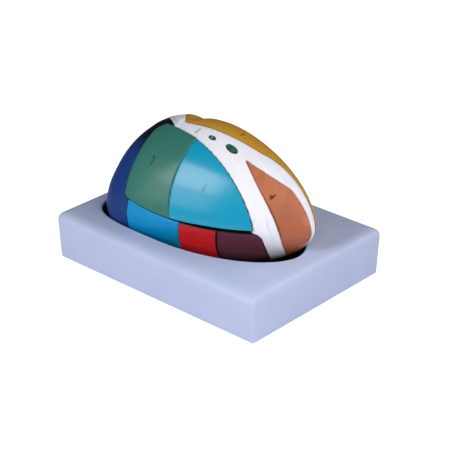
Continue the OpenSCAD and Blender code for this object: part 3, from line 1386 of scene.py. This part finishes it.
@dataclass
class Base:
    """The moulded block with its oval recess."""

    name: str = "base_moulding"
    node: str = "base"
    length: float = 220.0
    depth: float = 160.0
    height: float = 40.0
    corner_radii: tuple[float, ...] = (7.0, 7.0, 8.0, 2.5)
    edge_run: float = 12.0
    edge_drop: float = 7.0
    edge_fullness: float = 2.4
    draft: float = 1.5
    foot_radius: float = 0.3
    recess_rear: float = 96.0
    recess_front: float = 90.0
    recess_half_width: float = 54.0
    recess_widest_x: float = -12.0
    recess_centre_y: float = -4.5
    recess_lip: float = 1.6
    rear_fullness: float = 3.9
    front_fullness: float = 1.9
    underside_insets: Pair = (30.0, 4.0)
    side_shares: tuple[float, ...] = (0.15, 0.4, 0.7, 0.92)
    deck_shares: tuple[float, ...] = (0.04, 0.2, 0.4, 0.6, 0.8, 0.95)
    recess_levels: tuple[float, ...] = (36.0, 33.0, 28.0, 20.0, 13.0, 12.0)
    floor_inset: float = 6.0
    foot_steps: int = 4
    edge_steps: int = 19
    lip_steps: int = 7
    corner_steps: int = 12
    side_steps: tuple[int, int] = (56, 44)
    recess_steps: int = 1440
    finish: SatinPlastic = field(default_factory=SatinPlastic)

    def outer_ring(self, z: float, inset: float) -> Array:
        """Rounded rectangle at a height, drawn in by an inset.

        Args:
            z: The height.
            inset: How far it is drawn in.

        Returns:
            One row per point.
        """
        arcs = []
        corners = [(1, 1, 0), (-1, 1, 90), (-1, -1, 180), (1, -1, 270)]
        for (sx, sy, start), radius in zip(corners, self.corner_radii):
            r = max(1.0, radius - inset)
            x, y = self.length / 2 - inset - r, self.depth / 2 - inset - r
            a = np.radians(start + 90 * np.arange(self.corner_steps + 1) / self.corner_steps)
            arcs.append(np.stack([sx * x + r * np.cos(a), sy * y + r * np.sin(a)], 1))
        ring = []
        for turn, arc in enumerate(arcs):
            steps = self.side_steps[turn % 2]
            t = (np.arange(1, steps) / steps)[:, None]
            ring += [arc, arc[-1] * (1 - t) + arcs[(turn + 1) % 4][0] * t]
        ring = np.vstack(ring)
        return np.column_stack([ring, np.full(len(ring), z)])

    def recess_outline(self, grow: float) -> Array:
        """Dense outline of the recess, grown outwards.

        Args:
            grow: How far it is grown.

        Returns:
            Length and depth of each point.
        """
        rear, front = -self.recess_rear - grow, self.recess_front + grow
        a = np.linspace(0, 2 * math.pi, self.recess_steps, endpoint=False)
        x = (front + rear) / 2 + (front - rear) / 2 * np.cos(a)
        fullness = (self.rear_fullness, self.front_fullness)
        wide = egg_share(x, self.recess_widest_x, (rear, front), fullness)
        wide = wide * (self.recess_half_width + grow)
        return np.stack([x, self.recess_centre_y + np.sign(np.sin(a)) * wide], 1)

    def recess_ring(self, z: float, grow: float, bearings: Array) -> Array:
        """Recess outline at a height, read at the given bearings.

        Args:
            z: The height.
            grow: How far the outline is grown outwards.
            bearings: Directions from the middle of the recess, in radians.

        Returns:
            One row per point.
        """
        outline = self.recess_outline(grow)
        away = outline - [0, self.recess_centre_y]
        angle = np.arctan2(away[:, 1], away[:, 0])
        order = np.argsort(angle)
        angle, away = angle[order], away[order]
        ring = [np.interp(bearings, angle, away[:, i], period=2 * math.pi) for i in range(2)]
        return np.stack([ring[0], self.recess_centre_y + ring[1], np.full(len(bearings), z)], 1)

    def rings(self) -> list[tuple[Array, float]]:
        """Rings from the underside up, over the deck and down the recess.

        Returns:
            Each ring with how deep it lies inside the recess.
        """
        made = [(self.outer_ring(0.0, self.draft + inset), 0.0) for inset in self.underside_insets]
        for a in np.radians(np.linspace(0, 90, self.foot_steps)):
            lift = self.foot_radius * (1 - math.cos(a))
            inset = self.draft + self.foot_radius * (1 - math.sin(a))
            made.append((self.outer_ring(lift, inset), 0.0))
        shoulder = self.height - self.edge_drop
        for share in self.side_shares:
            z = self.foot_radius + (shoulder - self.foot_radius) * share
            made.append((self.outer_ring(z, self.draft * (1 - z / shoulder)), 0.0))
        power = 2 / self.edge_fullness
        for a in np.radians(np.linspace(0, 90, self.edge_steps)):
            z = self.height - self.edge_drop * (1 - math.sin(a) ** power)
            made.append((self.outer_ring(z, self.edge_run * (1 - math.cos(a) ** power)), 0.0))
        deck = made[-1][0]
        away = deck[:, :2] - [0, self.recess_centre_y]
        bearings = np.arctan2(away[:, 1], away[:, 0])
        rim = self.recess_ring(self.height, self.recess_lip, bearings)
        made += [(deck * (1 - share) + rim * share, 0.0) for share in self.deck_shares]
        walls = []
        for a in np.radians(np.linspace(90, 0, self.lip_steps)):
            drop = self.recess_lip * (1 - math.sin(a))
            walls.append((self.height - drop, self.recess_lip * (1 - math.cos(a))))
        walls += [(z, 0.0) for z in self.recess_levels]
        walls.append((self.recess_levels[-1], -self.floor_inset))
        made += [(self.recess_ring(z, grow, bearings), self.height - z) for z, grow in walls]
        return made

    def build(self) -> bpy.types.Object:
        """Meshes the base and dresses it.

        Returns:
            The piece.
        """
        rings = self.rings()
        count = len(rings[0][0])
        index = np.arange(len(rings) * count).reshape(len(rings), count)
        ahead = np.roll(index, -1, axis=1)
        quads = np.stack([index[:-1], ahead[:-1], ahead[1:], index[1:]], -1).reshape(-1, 4)
        caps = [index[0][::-1], index[-1]]
        made = make_piece(self.name, np.vstack([r for r, _ in rings]), [quads, *caps])
        keep_value(made, "inner", np.repeat([depth for _, depth in rings], count))
        made.data.materials.append(self.finish.build())
        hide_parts(self.node)
        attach(made, "root")
        LOG.info("%s: %d faces", self.name, len(made.data.polygons))
        return made


# Stage


def stand(data: bpy.types.ID, bearing: Pair, distance: float, aim: Point) -> bpy.types.Object:
    """Stands a camera or lamp at a distance from a point that it faces.

    Args:
        data: The camera or lamp.
        bearing: Azimuth and elevation at which it stands, in degrees.
        distance: Distance from the point, in millimetres.
        aim: The point.

    Returns:
        The new object, in the scene.
    """
    a, e = (math.radians(angle) for angle in bearing)
    away = Vector((math.sin(a) * math.cos(e), -math.cos(a) * math.cos(e), math.sin(e)))
    made = bpy.data.objects.new(data.name, data)
    made.rotation_mode = "QUATERNION"
    made.location = (Vector(aim) + away * distance) * MM
    made.rotation_quaternion = (-away).to_track_quat("-Z", "Y")
    bpy.context.scene.collection.objects.link(made)
    return made


@dataclass
class Camera:
    """The photograph's viewpoint, solved from the base's edges."""

    bearing: Pair = (42.19, 26.65)
    distance: float = 1306.0
    aim: Point = (-8.8, 19.4, 25.0)
    focal_pixels: float = 1563.0
    sensor: float = 36.0
    clip: Pair = (0.05, 20.0)

    def build(self) -> None:
        """Makes the camera and hands it to the scene."""
        data = bpy.data.cameras.new("camera")
        data.sensor_width = self.sensor
        data.lens = self.focal_pixels / FRAME_PIXELS * self.sensor
        data.clip_start, data.clip_end = self.clip
        bpy.context.scene.camera = stand(data, self.bearing, self.distance, self.aim)


@dataclass
class Lamp:
    """A softbox that faces the model."""

    name: str
    bearing: Pair
    distance: float
    size: Pair
    watts: float
    aim: Point = (0.0, 0.0, 60.0)
    mirrored: bool = True

    def build(self) -> None:
        """Makes the softbox."""
        data = bpy.data.lights.new(self.name, "AREA")
        data.shape = "RECTANGLE"
        data.size, data.size_y = (s * MM for s in self.size)
        data.energy = self.watts
        stand(data, self.bearing, self.distance, self.aim).visible_glossy = self.mirrored


@dataclass
class Studio:
    """Pale floor, white surroundings and soft lamps."""

    half_floor: float = 3000.0
    lamps: tuple[Lamp, ...] = (
        Lamp("key_softbox", (-14, 34), 900, (420, 350), 2.75),
        Lamp("key_skirt", (-14, 14), 900, (420, 270), 0.65),
        Lamp("front_fill", (-14, 15), 900, (430, 350), 1.5, mirrored=False),
        Lamp("corner_fill", (50, 50), 200, (130, 130), 0.15, aim=(105, -75, 40), mirrored=False),
        Lamp("side_softbox", (88, 18), 1100, (700, 500), 4.0),
        Lamp("back_softbox", (150, 40), 900, (500, 400), 2.2),
        Lamp("top_softbox", (78, 60), 700, (260, 260), 0.56),
    )
    world_level: float = 0.06
    world_tone: Tone = (215, 225, 255)
    floor_glow: float = 0.84
    floor_tone: Tone = (236, 236, 238)
    floor_roughness: float = 0.9

    def build(self) -> None:
        """Makes the lamps, the floor and the world."""
        for lamp in self.lamps:
            lamp.build()
        self.build_floor()
        self.build_world()

    def build_floor(self) -> None:
        """Makes the floor, which looks white and keeps the shadow."""
        h = self.half_floor
        points = np.array([(-h, -h, 0.0), (h, -h, 0.0), (h, h, 0.0), (-h, h, 0.0)])
        floor = make_piece("floor", points, [np.array([[0, 1, 2, 3]])], smooth=False)
        shader = Shader(bpy.data.materials.new("white_floor"))
        matt = {"Base Color": linear(self.floor_tone), "Roughness": self.floor_roughness}
        plain = shader.node("ShaderNodeBsdfPrincipled", {}, {**matt, "Specular IOR Level": 0.0})
        seen = shader.node("ShaderNodeLightPath", {}, {}, "Is Camera Ray")
        glow = shader.node("ShaderNodeEmission", {}, {"Strength": seen * self.floor_glow})
        both = shader.node("ShaderNodeAddShader", {}, {0: plain, 1: glow})
        shader.node("ShaderNodeOutputMaterial", {}, {"Surface": both})
        floor.data.materials.append(shader.owner)

    def build_world(self) -> None:
        """Makes white surroundings that light the model softly."""
        world = bpy.data.worlds.new("white_surroundings")
        bpy.context.scene.world = world
        shader = Shader(world)
        sky = {"Color": linear(self.world_tone), "Strength": self.world_level}
        lit = shader.node("ShaderNodeBackground", {}, sky)
        plain = shader.node("ShaderNodeBackground", {}, {})
        seen = shader.node("ShaderNodeLightPath", {}, {}, "Is Camera Ray")
        both = shader.node("ShaderNodeMixShader", {}, {0: seen, 1: lit, 2: plain})
        shader.node("ShaderNodeOutputWorld", {}, {"Surface": both})


def blocks() -> list[Block]:
    """The painted blocks.

    Returns:
        The blocks in building order.
    """
    navy = ShadedEnamel("navy_paint", (26, 58, 124), (18, 46, 104), coat=0.25)
    green = Enamel("green_paint", (52, 114, 100), (62, 126, 112), coat=0.6, coat_roughness=0.22,
                   ink=(18, 70, 58), ink_width=0.7)
    cyan = Enamel("cyan_paint", (7, 152, 186), (9, 140, 175), coat=0.95, coat_roughness=0.19,
                  line=(8, 30, 40), line_width=0.6, line_share=0.85,
                  ink=(8, 74, 122), ink_width=0.5)
    blue = Enamel("blue_paint", (8, 142, 200), (4, 128, 186), coat=0.3)
    # The red's lighter foot tone is painted bounce light from the deck below.
    red = GradedEnamel("red_paint", (188, 33, 37), (174, 24, 30), coat=0.4,
                       foot=(240, 44, 48), patch=(186, 28, 34), foot_levels=(0.056, 0.03),
                       line_width=0.7, line_share=0.9)
    # The maroon's lighter foot tone is painted bounce light from the deck below.
    maroon = GradedEnamel("maroon_paint", (90, 45, 56), (76, 38, 50), coat=0.3,
                          foot=(112, 62, 76), patch=(82, 40, 52), foot_levels=(0.056, 0.03),
                          line_width=0.7, line_share=0.9)
    # The white's walls go grey below its skin: painted shade in its seams and on the raised side
    # facet of its tail.
    white = StreakedEnamel("white_paint", (240, 238, 246), (226, 225, 236), coat=0.2,
                           hollow_shade=(92, 92, 104), hollow_depth=2.6,
                           ink=(120, 120, 138), ink_width=0.6, brush_depth=0.000096)
    ochre = Enamel("ochre_paint", (206, 152, 50), (184, 130, 40), coat=0.3, line_share=0.5,
                   ink=(84, 48, 12), ink_width=0.5)
    # The terracotta's darker foot tone is painted shade low down, away from the lamps above.
    terracotta = GradedEnamel("terracotta_paint", (190, 110, 74), (179, 99, 66), coat=0.6,
                              coat_roughness=0.28, line_share=0.5,
                              ink=(40, 10, 6), ink_width=0.75)
    leaf = Enamel("leaf_paint", (44, 104, 82), (36, 88, 70), line=(10, 36, 34), line_width=0.55,
                  line_share=0.9, ink=(12, 44, 40), ink_width=0.5)
    # The small oval's index mark is inked pale: a painted glint that lies over the mark.
    glint_leaf = replace(leaf, name="glint_marked_leaf_paint", ink=(132, 152, 148))
    small = Oval("small_oval_block", "parafascicular_nucleus", Slot.LEAF, glint_leaf,
                 strokes=SMALL_OVAL_MARK, relief=0.75, edge=0.3, pitch=0.4,
                 at=(1.2, -6.6), length=7.0)
    large = Oval("large_oval_block", "centromedian_nucleus", Slot.LEAF, leaf,
                 strokes=LARGE_OVAL_MARK, relief=0.75, edge=0.3, pitch=0.4,
                 at=(21.0, -5.4), length=11.5, roundness=0.46)
    return [
        Pulvinar("pulvinar_block", "pulvinar", Slot.NAVY, navy),
        UpperNucleus("lateral_posterior_block", "lateral_posterior_nucleus", Slot.GREEN, green,
                     relief=1.9, edge=0.8, corner_edge=3.0, strokes=GREEN_MARK),
        UpperNucleus("lateral_dorsal_block", "lateral_dorsal_nucleus", Slot.CYAN, cyan,
                     relief=1.3, ahead=True, strokes=CYAN_MARK, lined=(0, 2)),
        LowerNucleus("ventral_posterior_block", "ventral_posterior_nucleus", Slot.BLUE, blue,
                     ends=LINES.ventral_lateral),
        LowerNucleus("ventral_lateral_block", "ventral_lateral_nucleus", Slot.RED, red,
                     relief=0.2, begins=LINES.ventral_lateral, ends=LINES.ventral_anterior,
                     lined=(0, 2)),
        LowerNucleus("ventral_anterior_block", "ventral_anterior_nucleus", Slot.MAROON, maroon,
                     relief=0.0, begins=LINES.ventral_anterior),
        Lamina("lamina_wall", "medullary_lamina", Slot.WHITE, white,
               relief=0.6, edge=0.5, pitch=0.6, strokes=WHITE_MARK, pockets=(small, large)),
        Medial("medial_block", "medial_nucleus", Slot.OCHRE, ochre, strokes=OCHRE_MARK),
        Anterior("anterior_block", "anterior_nucleus", Slot.TERRACOTTA, terracotta,
                 edge=0.4, strokes=TERRACOTTA_MARK),
        small,
        large,
    ]


def main() -> None:
    """Builds the model and its studio, then notes the sizes."""
    logging.basicConfig(level=logging.INFO, format="%(message)s")
    Camera().build()
    Studio().build()
    Base().build()
    for block in blocks():
        block.build()
    bpy.context.scene.view_settings.view_transform = "Standard"


if __name__ == "__main__":
    main()
